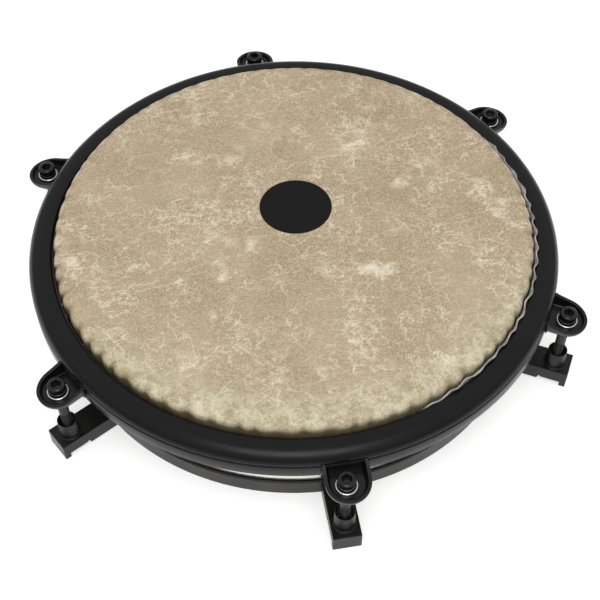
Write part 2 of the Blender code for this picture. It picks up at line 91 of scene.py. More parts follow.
PLEAT_DEPTHS = ((4, 0.45, 0.7), (13, 0.40, 2.9), (29, 0.35, 1.2), (47, 0.25, 0.5))
FLAT_RADII_MM = (30.0, 60.0, 90.0, 110.0, 122.0, 128.0, 130.0, 132.0, 134.0, 135.5, 136.7)
BEND_STEPS = 10
WALL_STEPS = 5

# Painted shade on the collar: deeper in the hollows and down the wall, and fainter on one side
SHADE_START_R = 136.5 * MM
SHADE_WIDTH = 4.0 * MM
SHADE_TOP_Z = FILM_TOP - 1.6 * MM
SHADE_FALL = 3.4 * MM
SHADE_HOLLOW = 0.8
SHADE_STRENGTH = 0.75
SHADE_SIDE = 0.15
SHADE_FAINT_SIDE = math.radians(20.0)

# Rolled rim
RIM_STEPS = 360
RIM_INNER_R = 143.85 * MM
RIM_OUTER_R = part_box("counterhoop")[1].y
RIM_TOP_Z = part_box("counterhoop")[1].z
RIM_SHEET = 2.8 * MM
RIM_NOSE = 1.5 * MM
RIM_NOSE_DROP = 0.2 * MM
RIM_FLAT = 3.0 * MM        # where the nose meets the crown, from the inner edge
RIM_FLAT_DROP = 0.04 * MM
RIM_CROWN = 5.0 * MM
CREASE_Z = RIM_TOP_Z - 7.5 * MM
CREASE_DEPTH = 0.8 * MM
SKIRT_BOTTOM_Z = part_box("counterhoop")[0].z
EDGE_ROUND = 0.4 * MM

# Tucked edge of the film
HEM_OUT_R = 143.33 * MM
HEM_ROOM = 0.65 * MM       # from the collar's face to the middle of the tucked edge
HEM_TOP_Z = RIM_TOP_Z + 1.2 * MM
HEM_LOW_Z = RIM_TOP_Z - 3.0 * MM
HEM_WAVE = 0.5 * MM
HEM_THICKNESS = 0.8 * MM
HEM_FLARE = 1.6 * MM       # how far a fold leans out over the rim
HEM_LEAN = 0.7             # how far one leans in, as a share of the room beside the collar
HEM_HIGH_MIDDLE = math.radians(-22.0)  # the edge stands up round this side
HEM_HIGH_COSINE = 0.62
HEM_HIGH_FADE = 0.12
HEM_TABS_DEG = (-113.7, -101.8, -98.4, -92.6, -77.0, -74.0)
HEM_TAB_HALF = math.radians(1.7)
HEM_TAB_FADE = 0.35 * HEM_TAB_HALF
HEM_CRUMPLE = ((7, 0.6, 2.0), (23, 0.5, 0.3), (41, 0.4, 1.1))
FOLD_MEAN = 0.75
FOLD_SPREAD = 0.3
FOLD_POWER = 0.8
LEAN_START = 0.6           # angles that set the patterns of the lean and the flare apart
FLARE_START = 1.9
FLARE_LAG = 0.02
WIRE_R = 147.35 * MM
WIRE_Z = RIM_TOP_Z - 6.75 * MM
WRAP_RADIUS = 3.35 * MM

# Ears
EAR_RADIUS = 12.4 * MM
EAR_SETBACK = 0.9 * MM     # of the ear's middle from the bolt, towards the drum
EAR_SHEET = 2.0 * MM
EAR_BOTTOM_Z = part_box("hoop_ear_1")[0].z
EAR_FLOOR_Z = EAR_BOTTOM_Z + EAR_SHEET
EAR_TIP_HEIGHT = 4.5 * MM
EAR_ROOT_HEIGHT = 9.6 * MM
EAR_LIP = 0.8 * MM
EAR_DISH = 3.8 * MM
EAR_FLOOR_CURVE = 1.8 * MM
EAR_ROUND = 0.35 * MM
EAR_HOLE_R = 3.5 * MM
EAR_ROOT_R = 157.6 * MM
EAR_ROOT_X = RIM_OUTER_R - RIM_SHEET / 2 - BOLT_CIRCLE_R
WELD_RADIUS = 0.8 * MM
WELD_STEPS = 14
WELD_FOOT_Z = EAR_BOTTOM_Z + 1.2 * MM
WELD_LENGTH = EAR_ROOT_HEIGHT - 1.0 * MM
FRONT_EAR_SHIFT = 1.0 * MM

# Washers and bolts
WASHER_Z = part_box("bolt_washer_1")[0].z
WASHER_RADIUS = 6.2 * MM
WASHER_BORE = 3.3 * MM
WASHER_THICKNESS = 1.5 * MM
WASHER_ROUND = 0.65 * MM
WASHER_EASE = 0.1 * MM
BOLT_RADIUS = 3.0 * MM
BOLT_HEAD_RADIUS = 5.0 * MM
BOLT_HEAD_HEIGHT = 6.0 * MM
BOLT_SEAT_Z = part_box("tension_bolt_1")[1].z - BOLT_HEAD_HEIGHT
BOLT_END_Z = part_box("tension_bolt_1")[0].z
SOCKET_FLATS = 5.0 * MM
SOCKET_DEPTH = 3.0 * MM
KNURL_COUNT = 36
KNURL_DEPTH = 0.14 * MM
THREAD_PITCH = 1.0 * MM
THREAD_DEPTH = 0.5 * MM
THREAD_ROWS = 6            # rows of points in one pitch
THREAD_FLANK = 1.25
THREAD_SINK = 0.05 * MM    # of the thread's crest below the shank
THREAD_RUNOUT = 0.6 * MM
BOLT_POINT = 0.6 * MM      # length of the plain end
BOLT_SPIN_START_DEG = 23.0
BOLT_SPIN_STEP_DEG = 37.0

# Feet
FOOT_HALF_WIDTH = 8.1 * MM
FOOT_TOP_Z = 12.2 * MM
FOOT_INNER_R = 139.8 * MM
FOOT_SEAT_R = 141.8 * MM
FOOT_TIP = 9.7 * MM        # from the bolt's axis
HEEL_DROP = 3.4 * MM
HEEL_LENGTH = 3.7 * MM
ARM_BOTTOM_Z = 1.4 * MM
NOTCH_OFFSET = 6.6 * MM
NOTCH_WIDTH = 2.4 * MM
NOTCH_DEPTH = 1.0 * MM
FOOT_BEVEL = 0.3 * MM
BOSS_TOP_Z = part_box("lug_foot_1")[1].z
BOSS_TOP_R = 5.6 * MM
BOSS_BASE_R = 6.1 * MM
BOSS_FILLET = 1.0 * MM
BORE_R = 4.8 * MM
BORE_BOTTOM_Z = 4.8 * MM
THREAD_TOP_Z = BOLT_END_Z + 24.0 * MM  # the thread's standard length

# Shell, base ring and their screws
SHELL_R = 139.8 * MM
SHELL_INNER_R = 136.8 * MM
SHELL_TOP_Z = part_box("shell")[1].z
SHELL_BOTTOM_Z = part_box("shell")[0].z
SHELL_EDGE = 2.0 * MM
RING_INNER_R = 140.1 * MM
RING_OUTER_R = 141.5 * MM
RING_TOP_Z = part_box("base_ring")[1].z
SCREW_Z = (ARM_BOTTOM_Z + RING_TOP_Z) / 2
SCREW_HEAD_R = 4.5 * MM
SCREW_HEAD_HEIGHT = 3.0 * MM
SCREW_R = 2.5 * MM
SCREW_SEAT_R = 136.5 * MM
SCREW_TIP_R = 153.8 * MM

# Printed dot on the film
DOT_CENTRE = (3.4 * MM, 13.3 * MM)
DOT_RADIUS = 21.8 * MM
DOT_BLUR = 0.15 * MM

# Film colours
TAN_DARK = (0.390, 0.288, 0.170, 1.0)
TAN_LIGHT = (0.535, 0.412, 0.263, 1.0)
GRAIN_TAN = (0.640, 0.520, 0.355, 1.0)
FIBRE_CREAM = (0.930, 0.830, 0.650, 1.0)
# painted shade: the brown mixed into the collar's hollows and down its wall
HOLLOW_SHADE_BROWN = (0.100, 0.070, 0.026, 1.0)
DOT_BLACK = (0.004, 0.004, 0.004, 1.0)
NEAR_GREEN = (0.460, 0.400, 0.225, 1.0)
NEAR_PALE = (0.800, 0.740, 0.530, 1.0)
# painted highlight: colour of the thin pale line along the film's far crest
FAR_HIGHLIGHT_PALE = (0.780, 0.660, 0.560, 1.0)
NEAR_ZONE_R = (112.0 * MM, 138.0 * MM)     # where the near tint starts and is full
# where the painted highlight along the far crest lies
FAR_HIGHLIGHT_R = (138.5 * MM, 139.7 * MM)

# Floor, world and lamp
WHITE = (1.0, 1.0, 1.0, 1.0)
FLOOR_SIZE = 8.0
FLOOR_DROP = 0.05 * MM     # keeps the floor clear of the heels
FLOOR_COLOUR = (0.80, 0.80, 0.80, 1.0)
FLOOR_LIFT = 0.55          # light of its own, seen only by the camera and in reflections
WORLD_LOW, WORLD_HIGH = 0.30, 0.68         # strength near the horizon and overhead
WORLD_LOW_Z, WORLD_HIGH_Z = 0.08, 0.60
LAMP_AZIMUTH_DEG = -100.0
LAMP_ELEVATION_DEG = 62.0
LAMP_DISTANCE = 1.6
LAMP_SIZE = 0.8
LAMP_WATTS = 7.5

# Fibres in the film: straight or frayed, scale, width, stretch, turn, offset, cover and strength
FIBRE_LAYERS = (
    (True, 30.0, 0.018, (1.0, 2.6, 1.0), 25.0, (0.4, 2.2, 5.0), 0.50, 0.58),
    (True, 42.0, 0.022, (1.0, 2.2, 1.0), -55.0, (2.9, 0.2, 1.3), 0.50, 0.56),
    (True, 110.0, 0.055, (1.0, 1.8, 1.0), 80.0, (1.7, 5.1, 0.8), 0.48, 0.48),
    (False, 20.0, 0.011, (1.0, 1.6, 1.0), -15.0, (4.2, 1.9, 3.3), 0.47, 0.75),
    (False, 60.0, 0.018, (1.3, 1.0, 1.0), 10.0, (6.1, 3.7, 0.6), 0.47, 0.75),
)

SHARP_DEG = 35.0


# Mesh helpers

def lug_matrix(index, radius=BOLT_CIRCLE_R, z=0.0):
    """Frame of a lug: origin at the radius, +X away from the drum's axis."""
    angle = math.radians(FIRST_LUG_DEG + index * 360.0 / LUG_COUNT)
    place = Vector((radius * math.cos(angle), radius * math.sin(angle), z))
    return Matrix.Translation(place) @ Matrix.Rotation(angle, 4, "Z")


def arc(centre, radius, start_deg, end_deg, count):
    """Points on an arc of a section, count steps long."""
    angles = [math.radians(start_deg + (end_deg - start_deg) * i / count) for i in range(count + 1)]
    return [(centre[0] + radius * math.cos(a), centre[1] + radius * math.sin(a)) for a in angles]


def add_object(name, mesh, material=None):
    obj = bpy.data.objects.new(name, mesh)
    bpy.context.scene.collection.objects.link(obj)
    if material is not None:
        mesh.materials.clear()
        mesh.materials.append(material)
    return obj


def smooth(mesh, angle_deg=SHARP_DEG):
    mesh.shade_smooth()
    mesh.set_sharp_from_angle(angle=math.radians(angle_deg))


def finish_mesh(work, name):
    bmesh.ops.recalc_face_normals(work, faces=work.faces)
    mesh = bpy.data.meshes.new(name)
    work.to_mesh(mesh)
    work.free()
    smooth(mesh)
    return mesh


def revolve(name, rows, steps, closed=False):
    """Rows of (radius, height), or of functions of the angle, turned about the Z axis.

    A row at radius 0 is one vertex. A closed section joins its last row to its first.
    """
    work = bmesh.new()
    rings = []
    for row in rows:
        if not callable(row) and row[0] == 0.0:
            rings.append([work.verts.new((0.0, 0.0, row[1]))])
            continue
        ring = []
        for i in range(steps):
            angle = math.tau * i / steps
            radius, height = row(angle) if callable(row) else row
            ring.append(work.verts.new((radius * math.cos(angle), radius * math.sin(angle), height)))
        rings.append(ring)
    pairs = list(zip(rings, rings[1:]))
    if closed:
        pairs.append((rings[-1], rings[0]))
    for low, high in pairs:
        for i in range(steps):
            j = (i + 1) % steps
            corners = [low[i % len(low)], low[j % len(low)], high[j % len(high)], high[i % len(high)]]
            work.faces.new(list(dict.fromkeys(corners)))
    return finish_mesh(work, name)


def loft(name, sections):
    """A solid through outlines that all have the same number of points."""
    work = bmesh.new()
    loops = [[work.verts.new(point) for point in section] for section in sections]
    count = len(loops[0])
    for low, high in zip(loops, loops[1:]):
        for i in range(count):
            j = (i + 1) % count
            work.faces.new((low[i], low[j], high[j], high[i]))
    work.faces.new(loops[0])
    work.faces.new(loops[-1])
    return finish_mesh(work, name)


def evaluated_mesh(obj, name):
    """The object's shape with its modifiers, as one mesh; the object is removed."""
    bpy.context.view_layer.update()
    shape = obj.evaluated_get(bpy.context.evaluated_depsgraph_get())
    mesh = bpy.data.meshes.new_from_object(shape)
    mesh.name = name
    bpy.data.objects.remove(obj, do_unlink=True)
    return mesh


def carve(name, blank, tools):
    """The blank mesh with each (mesh, operation) applied in turn."""
    body = add_object(name, blank)
    helpers = []
    for tool, operation in tools:
        helper = add_object(tool.name, tool)
        helpers.append(helper)
        modifier = body.modifiers.new(tool.name, "BOOLEAN")
        modifier.operation = operation
        modifier.solver = "EXACT"
        modifier.object = helper
    mesh = evaluated_mesh(body, name)
    for helper in helpers:
        bpy.data.objects.remove(helper, do_unlink=True)
    smooth(mesh)
    return mesh


def even_normals(mesh):
    """Normals weighted by face area, so that flat faces stay flat beside small roundings."""
    obj = add_object(mesh.name, mesh)
    modifier = obj.modifiers.new("Normals", "WEIGHTED_NORMAL")
    modifier.keep_sharp = True
    return evaluated_mesh(obj, mesh.name)


def place(mesh, name, matrix, material):
    """A copy of a mesh in its place in the row frame, as an object at the origin."""
    copy = mesh.copy()
    copy.transform(matrix)
    return add_object(name, copy, material)


def fit(obj, body, slot, *nodes):
    """Put a piece on its body, in place of its CAD nodes; the slot argument is not used."""
    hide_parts(*nodes)
    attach(obj, body)


# Film, its pleated collar and its tucked edge

def waves(angle, terms):
    """A sum of sines round the drum; each term is a count, a size and a start."""
    return sum(size * math.sin(count * angle + start) for count, size, start in terms)


def hollow(angle):
    """0 on a lobe of the collar, up to 1 in the hollow between two lobes."""
    phase = PLEAT_COUNT * angle + waves(angle, PLEAT_DRIFT)
    return 0.5 - 0.5 * math.cos(phase)


def fullness(angle):
    """1 on a lobe, and down to 0 in the deepest hollow."""
    depth = min(1.0, PLEAT_DEPTH + PLEAT_SPREAD * waves(angle, PLEAT_DEPTHS))
    front = max(0.0, math.cos(angle - SHALLOW_MIDDLE)) ** SHALLOW_POWER
    return 1.0 - depth * (1.0 - SHALLOW_SHARE * front) * hollow(angle) ** HOLLOW_POWER


def collar_radius(angle):
    """Radius of the collar's outer face."""
    return BEND_R + BEND_ACROSS + fullness(angle) * LOBE_ACROSS


def film_station(kind, value, inset):
    """One row of the film's section, as a function of the angle."""
    def point(angle):
        full = fullness(angle)
        across = BEND_ACROSS + full * LOBE_ACROSS
        down = BEND_DOWN + full * LOBE_DOWN
        ripple = RIPPLE_DEPTH * (full - 1.0)
        if kind == "flat":
            share = max(0.0, (value - RIPPLE_START_R) / (BEND_R - RIPPLE_START_R))
            return value, FILM_TOP - inset + ripple * share * share * (3.0 - 2.0 * share)
        if kind == "bend":
            turn = math.radians(value)
            height = FILM_TOP - down + (down - inset) * math.sin(turn)
            return BEND_R + (across - inset) * math.cos(turn), height + ripple * math.sin(turn)
        return BEND_R + across - inset, FILM_TOP - down - value * (FILM_TOP - down - COLLAR_BOTTOM)
    return point


def film_head():
    """The playing surface, bent over the shell's edge into its pleated collar."""
    stations = [("flat", r * MM) for r in FLAT_RADII_MM]
    stations += [("bend", 90.0 - 90.0 * i / BEND_STEPS) for i in range(BEND_STEPS + 1)]
    stations += [("wall", (i + 1) / WALL_STEPS) for i in range(WALL_STEPS)]
    rows = [(0.0, FILM_TOP)]
    rows += [film_station(kind, value, 0.0) for kind, value in stations]
    rows += [film_station(kind, value, FILM_THICKNESS) for kind, value in reversed(stations)]
    rows.append((0.0, FILM_TOP - FILM_THICKNESS))
    mesh = revolve("film_head", rows, COLUMNS)
    # painted shade: a share of brown per point, deeper in the collar's hollows and down its wall, fainter on
    # one side
    shade = mesh.attributes.new("hollow", "FLOAT", "POINT")
    for vertex in mesh.vertices:
        angle = math.atan2(vertex.co.y, vertex.co.x)
        edge = min(1.0, max(0.0, (vertex.co.xy.length - SHADE_START_R) / SHADE_WIDTH))
        wall = min(1.0, max(0.0, (SHADE_TOP_Z - vertex.co.z) / SHADE_FALL))
        side = SHADE_STRENGTH - SHADE_SIDE * math.cos(angle - SHADE_FAINT_SIDE)
        depth = SHADE_HOLLOW * edge * (1.0 - fullness(angle))
        shade.data[vertex.index].value = side * min(1.0, depth + wall)
    obj = add_object("film_head", mesh, film_material())
    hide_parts("head_film")
    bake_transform(obj)


def hem_rise(angle):
    """1 where the tucked edge stands above the rim, 0 where it stays down in the gap."""
    right_side = (math.cos(angle - HEM_HIGH_MIDDLE) - HEM_HIGH_COSINE) / HEM_HIGH_FADE
    tabs = max((HEM_TAB_HALF - abs(angle - math.radians(turn))) / HEM_TAB_FADE
               for turn in HEM_TABS_DEG)
    return min(1.0, max(0.0, right_side, tabs))


def fold_size(angle):
    """Size of a fold in the tucked edge, from 0 to 1, uneven round the drum."""
    return min(1.0, max(0.0, FOLD_MEAN + FOLD_SPREAD * waves(angle, PLEAT_DEPTHS)))


def hem_path(angle):
    """The tucked edge's middle line: down from its free top, round the wire, and back in."""
    inner = collar_radius(angle) + HEM_ROOM
    crumple = HEM_WAVE * waves(angle, HEM_CRUMPLE)
    low = WIRE_Z + WRAP_RADIUS
    rise = hem_rise(angle)
    fold = hollow(angle) ** FOLD_POWER * fold_size(angle + LEAN_START)
    lean = HEM_LEAN * (HEM_OUT_R - inner) * fold * rise
    height = HEM_LOW_Z + (HEM_TOP_Z + crumple - HEM_LOW_Z) * rise - low
    flare = HEM_FLARE * rise * (1.0 - fold_size(angle + FLARE_START) * hollow(angle + FLARE_LAG))
    path = [
        (HEM_OUT_R - lean + flare, low + height + 0.4 * lean + 0.2 * flare),
        (HEM_OUT_R - 0.9 * lean + 0.25 * flare, low + 0.82 * height),
        (HEM_OUT_R - 0.5 * lean, low + 0.55 * height),
        (HEM_OUT_R - 0.1 * lean, low + 0.25 * height),
        (HEM_OUT_R + 0.05 * MM, low + 0.12 * height),
        (HEM_OUT_R + 0.6 * MM, low),
    ]
    path += arc((WIRE_R, WIRE_Z), WRAP_RADIUS, 90.0, -90.0, 12)
    path += [(HEM_OUT_R + 1.0 * MM, WIRE_Z - WRAP_RADIUS),
             (collar_radius(angle) + 0.05 * MM, WIRE_Z - WRAP_RADIUS)]
    return path


def both_sides(path, thickness):
    """A thin sheet's closed section round its middle line."""
    near, far = [], []
    for i, (r, z) in enumerate(path):
        before, after = path[max(0, i - 1)], path[min(len(path) - 1, i + 1)]
        along = Vector((after[0] - before[0], after[1] - before[1])).normalized()
        near.append((r + along.y * thickness / 2, z - along.x * thickness / 2))
        far.append((r - along.y * thickness / 2, z + along.x * thickness / 2))
    return near + far[::-1]


def film_tuck():
    """The film's edge, wrapped round the wire hoop, with its crumpled cut edge standing up."""
    loops = [both_sides(hem_path(math.tau * i / COLUMNS), HEM_THICKNESS) for i in range(COLUMNS)]
    work = bmesh.new()
    rings = []
    for i, loop in enumerate(loops):
        angle = math.tau * i / COLUMNS
        rings.append([work.verts.new((r * math.cos(angle), r * math.sin(angle), z)) for r, z in loop])
    for i in range(COLUMNS):
        here, there = rings[i], rings[(i + 1) % COLUMNS]
        for j in range(len(here)):
            k = (j + 1) % len(here)
            work.faces.new((here[j], here[k], there[k], there[j]))
    obj = add_object("film_tuck", finish_mesh(work, "film_tuck"), film_edge_material())
    fit(obj, "rim", "film_edge", "film_hem")


# Rim

def rim_section():
    """Closed section of the rolled rim: nose, crown, shoulder, crease and skirt."""
    width = RIM_OUTER_R - RIM_INNER_R - RIM_CROWN
    height = RIM_TOP_Z - CREASE_Z
    centre = RIM_INNER_R + RIM_CROWN

    def shoulder(inset, angles):
        turns = [math.radians(a) for a in angles]
        return [(centre + (width - inset) * math.cos(t), CREASE_Z + (height - inset) * math.sin(t))
                for t in turns]

    nose = (RIM_INNER_R + RIM_NOSE, RIM_TOP_Z - RIM_NOSE - RIM_NOSE_DROP)
    outer = RIM_OUTER_R
    inner = outer - RIM_SHEET
    rows = arc(nose, RIM_NOSE, 180.0, 95.0, 6)
    rows += [(RIM_INNER_R + RIM_FLAT, RIM_TOP_Z - RIM_FLAT_DROP)]
    rows += shoulder(0.0, range(90, 9, -5))
    rows += [
        (outer - 0.55 * CREASE_DEPTH, CREASE_Z + 0.35 * MM),
        (outer - CREASE_DEPTH, CREASE_Z),
        (outer - 0.5 * CREASE_DEPTH, CREASE_Z - 0.3 * MM),
        (outer - 0.1 * MM, CREASE_Z - 0.6 * MM),
        (outer, CREASE_Z - 1.1 * MM),
    ]
    rows += arc((outer - EDGE_ROUND, SKIRT_BOTTOM_Z + EDGE_ROUND), EDGE_ROUND, 0.0, -90.0, 3)
    rows += arc((inner + EDGE_ROUND, SKIRT_BOTTOM_Z + EDGE_ROUND), EDGE_ROUND, -90.0, -180.0, 3)
    rows += [(inner, CREASE_Z - CREASE_DEPTH)]
    rows += shoulder(RIM_SHEET, (20, 35, 50, 65, 80, 90))
    rows += arc((RIM_INNER_R + EDGE_ROUND, RIM_TOP_Z - RIM_SHEET + EDGE_ROUND), EDGE_ROUND,
                -90.0, -180.0, 3)
    return rows


def rim_hoop():
    mesh = revolve("rim_hoop", rim_section(), RIM_STEPS, closed=True)
    fit(add_object("rim_hoop", mesh, hoop_material()), "rim", "black_hoop", "counterhoop")


def ear_path(inset):
    """Outline of an ear about its own middle: straight sides and a round tip, open at the hoop."""
    radius = EAR_RADIUS - inset
    steps = [EAR_ROOT_X - (EAR_SETBACK + EAR_ROOT_X) * i / 8 for i in range(8)]
    tip = arc((-EAR_SETBACK, 0.0), radius, -90.0, 90.0, 40)
    return [(x, -radius) for x in steps] + tip + [(x, radius) for x in reversed(steps)]


def ear_rim_height(x):
    """Height of an ear's rim above its underside, which climbs from the tip to the hoop."""
    share = (EAR_RADIUS - EAR_SETBACK - x) / (EAR_RADIUS - EAR_SETBACK - EAR_ROOT_X)
    return EAR_TIP_HEIGHT + (EAR_ROOT_HEIGHT - EAR_TIP_HEIGHT) * share ** 1.5


def ear_rows():
    """Rows (inset, height as a share of the rim's, drop) from the underside to the cup's floor."""
    turns = [math.radians(9.0 * i) for i in range(11)]
    rows = [(EAR_DISH * (1.0 - math.sin(t)), 1.0 - math.cos(t), -EAR_LIP) for t in turns]
    edge = EAR_ROUND
    rows += [(edge * (1.0 - math.cos(t)), 1.0, edge * (math.sin(t) - 1.0)) for t in turns[::2]]
    rows += [(EAR_SHEET - edge * (1.0 - math.sin(t)), 1.0, edge * (math.cos(t) - 1.0))
             for t in turns[::2]]
    return rows


def ear_blank():
    """An ear's dished sheet, before its hole is cut: closed below, inside and at the hoop."""
    work = bmesh.new()
    rows = []
    for inset, share, drop in ear_rows():
        rows.append([work.verts.new((x, y, EAR_BOTTOM_Z + (ear_rim_height(x) + drop) * share))
                     for x, y in ear_path(inset)])
    for i in range(1, 9):
        turn = math.radians(90.0 * i / 8)
        inset = EAR_SHEET + EAR_FLOOR_CURVE * (1.0 - math.cos(turn))
        rows.append([work.verts.new((x, y, EAR_FLOOR_Z + (1.0 - math.sin(turn))
                                     * (EAR_BOTTOM_Z + ear_rim_height(x) - EAR_ROUND - EAR_FLOOR_Z)))
                     for x, y in ear_path(inset)])
    for low, high in zip(rows, rows[1:]):
        for i in range(len(low) - 1):
            work.faces.new((low[i], low[i + 1], high[i + 1], high[i]))
    work.faces.new(rows[0])
    work.faces.new(rows[-1])
    work.faces.new([row[0] for row in rows] + [row[-1] for row in reversed(rows)])
    return finish_mesh(work, "ear_blank")


def weld_bead(side, shift):
    """A lumpy bead of weld down one corner of the ear."""
    rows = []
    for i in range(WELD_STEPS + 1):
        share = i / WELD_STEPS
        swell = math.sin(math.pi * share) ** 0.35 if 0 < i < WELD_STEPS else 0.0
        lump = 1.0 + 0.2 * math.cos(i * 2.1) + 0.12 * math.sin(i * 3.7 + side)
        rows.append((WELD_RADIUS * swell * lump, WELD_FOOT_Z + share * WELD_LENGTH))
    mesh = revolve("weld", rows, 12)
    x = RIM_OUTER_R - BOLT_CIRCLE_R + 0.2 * MM
    mesh.transform(Matrix.Translation((x, shift + side * (EAR_RADIUS - 0.3 * MM), 0.0)))
    return mesh


def ear_mesh(shift):
    """A dished ear with a rounded lip, a bolt hole and two weld beads, shifted sideways."""
    low, high = EAR_BOTTOM_Z - MM, EAR_BOTTOM_Z + EAR_ROOT_HEIGHT + 3 * MM
    blank = ear_blank()
    blank.transform(Matrix.Translation((0.0, shift, 0.0)))
    hole = revolve("ear_hole", [(0.0, low), (EAR_HOLE_R, low), (EAR_HOLE_R, high), (0.0, high)], 40)
    seat = revolve("ear_seat", [(0.0, low), (EAR_ROOT_R, low), (EAR_ROOT_R, high), (0.0, high)],
                   RIM_STEPS)
    seat.transform(Matrix.Translation((-BOLT_CIRCLE_R, 0.0, 0.0)))
    mesh = carve("rim_ear", blank, [
        (hole, "DIFFERENCE"), (seat, "DIFFERENCE"),
        (weld_bead(1, shift), "UNION"), (weld_bead(-1, shift), "UNION")])
    return even_normals(mesh)


def rim_ears():
    """Six dished ears. The front one is welded a little to one side of its bolt."""
    centred = ear_mesh(0.0)
    off_centre = ear_mesh(FRONT_EAR_SHIFT)
    material = ear_material()
    for index in range(LUG_COUNT):
        number = index + 1
        mesh = centred if index else off_centre
        obj = place(mesh, f"rim_ear_{number}", lug_matrix(index), material)
        fit(obj, "rim", "black_hoop", f"hoop_ear_{number}")


# Bolts and washers

def washers():
    """Stamped steel washers, rounded on the outer top edge, with painted shade on the flat top round the
    bolt's head.
    """
    top, ease = WASHER_THICKNESS, WASHER_EASE
    round_start_r = WASHER_RADIUS - WASHER_ROUND
    rows = [(WASHER_BORE, ease), (WASHER_BORE, top - 1.5 * ease),
            (WASHER_BORE + 1.5 * ease, top), (round_start_r - 2 * ease, top)]
    rows += arc((round_start_r, top - WASHER_ROUND), WASHER_ROUND, 90.0, 0.0, 6)
    rows += [(WASHER_RADIUS, ease), (WASHER_RADIUS - ease, 0.0), (WASHER_BORE + ease, 0.0)]
    mesh = revolve("washer", rows, 64, closed=True)
    # painted shade: the flat top inside the rounded edge is marked to be darkened, as the bolt head's shadow
    painted_head_shade = mesh.attributes.new("painted_head_shade", "FLOAT", "POINT")
    for vertex in mesh.vertices:
        painted_head_shade.data[vertex.index].value = float(vertex.co.xy.length < round_start_r - ease)
    material = washer_material()
    for index in range(LUG_COUNT):
        number = index + 1
        obj = place(mesh, f"washer_{number}", lug_matrix(index, z=WASHER_Z), material)
        fit(obj, "rim", "zinc_steel", f"bolt_washer_{number}")


def hex_radius(angle):
    """Radius of the socket's hexagon at an angle."""
    turn = (angle + math.pi / 6) % (math.pi / 3) - math.pi / 6
    return SOCKET_FLATS / 2 / math.cos(turn)


def knurled(height):
    """A row of the bolt head's knurled side."""
    def point(angle):
        return BOLT_HEAD_RADIUS - KNURL_DEPTH * (0.5 - 0.5 * math.cos(KNURL_COUNT * angle)), height
    return point


def socket_row(extra, height):
    def point(angle):
        return hex_radius(angle) + extra, height
    return point


def thread_row(height):
    """A row of the thread: a right-hand ridge that climbs one pitch a turn."""
    fade = min(1.0, (THREAD_TOP_Z - BOLT_SEAT_Z - height) / (2 * THREAD_PITCH))

    def point(angle):
        turn = (height / THREAD_PITCH - angle / math.tau) % 1.0
        groove = max(0.0, 1.0 - abs(2.0 * turn - 1.0) * THREAD_FLANK)
        return BOLT_RADIUS - THREAD_SINK - THREAD_DEPTH * groove * max(0.0, fade), height
    return point


def bolt_mesh():
    """A socket-head bolt with its origin on its own axis, under its head."""
    end = BOLT_END_Z - BOLT_SEAT_Z
    thread_top = THREAD_TOP_Z - BOLT_SEAT_Z
    top = BOLT_HEAD_HEIGHT
    rows = [(0.0, top - SOCKET_DEPTH), socket_row(-0.15 * MM, top - SOCKET_DEPTH),
            socket_row(0.0, top - SOCKET_DEPTH + 0.15 * MM), socket_row(0.0, top - 0.3 * MM),
            socket_row(0.25 * MM, top)]
    edge_r = BOLT_HEAD_RADIUS - KNURL_DEPTH
    rows += [(edge_r - 0.90 * MM, top), (edge_r - 0.20 * MM, top - 0.38 * MM),
             (edge_r, top - 0.65 * MM), knurled(top - 0.80 * MM)]
    rows += [knurled(0.6 * MM), (BOLT_HEAD_RADIUS - 0.14 * MM, 0.4 * MM),
             (BOLT_HEAD_RADIUS - 0.3 * MM, 0.0), (BOLT_RADIUS + 0.25 * MM, 0.0),
             (BOLT_RADIUS, -0.25 * MM), (BOLT_RADIUS, thread_top + THREAD_RUNOUT)]
    count = round((thread_top - end - BOLT_POINT) / (THREAD_PITCH / THREAD_ROWS))
    rows += [thread_row(thread_top - i * THREAD_PITCH / THREAD_ROWS) for i in range(count + 1)]
    rows += [(BOLT_RADIUS - 0.7 * MM, end), (0.0, end)]
    return revolve("cap_bolt", rows, 6 * KNURL_COUNT)


def bolts():
    mesh = bolt_mesh()
    material = bolt_material()
    for index in range(LUG_COUNT):
        number = index + 1
        spin_deg = BOLT_SPIN_START_DEG + BOLT_SPIN_STEP_DEG * index
        spin = Matrix.Rotation(math.radians(spin_deg), 4, "Z")
        obj = place(mesh, f"cap_bolt_{number}", lug_matrix(index, z=BOLT_SEAT_Z) @ spin, material)
        fit(obj, f"bolt_{number}", "black_bolt", f"tension_bolt_{number}")


# Feet

def foot_block():
    """The foot's arm with its notch and heel, and all of its edges eased."""
    inner = FOOT_INNER_R - BOLT_CIRCLE_R
    heel = FOOT_TIP - HEEL_LENGTH
    outline = [
        (inner, ARM_BOTTOM_Z),
        (-NOTCH_OFFSET - NOTCH_WIDTH / 2, ARM_BOTTOM_Z),
        (-NOTCH_OFFSET, HEEL_DROP + NOTCH_DEPTH),
        (-NOTCH_OFFSET + NOTCH_WIDTH / 2, HEEL_DROP),
        (heel, HEEL_DROP), (heel, 0.0), (FOOT_TIP, 0.0),
        (FOOT_TIP, FOOT_TOP_Z), (inner, FOOT_TOP_Z),
    ]
    sides = [[(x, y, z) for x, z in outline] for y in (-FOOT_HALF_WIDTH, FOOT_HALF_WIDTH)]
    obj = add_object("foot_block", loft("foot_block", sides))
    bevel = obj.modifiers.new("Ease", "BEVEL")
    bevel.width = FOOT_BEVEL
    bevel.segments = 3
    bevel.limit_method = "ANGLE"
    return evaluated_mesh(obj, "foot_block")


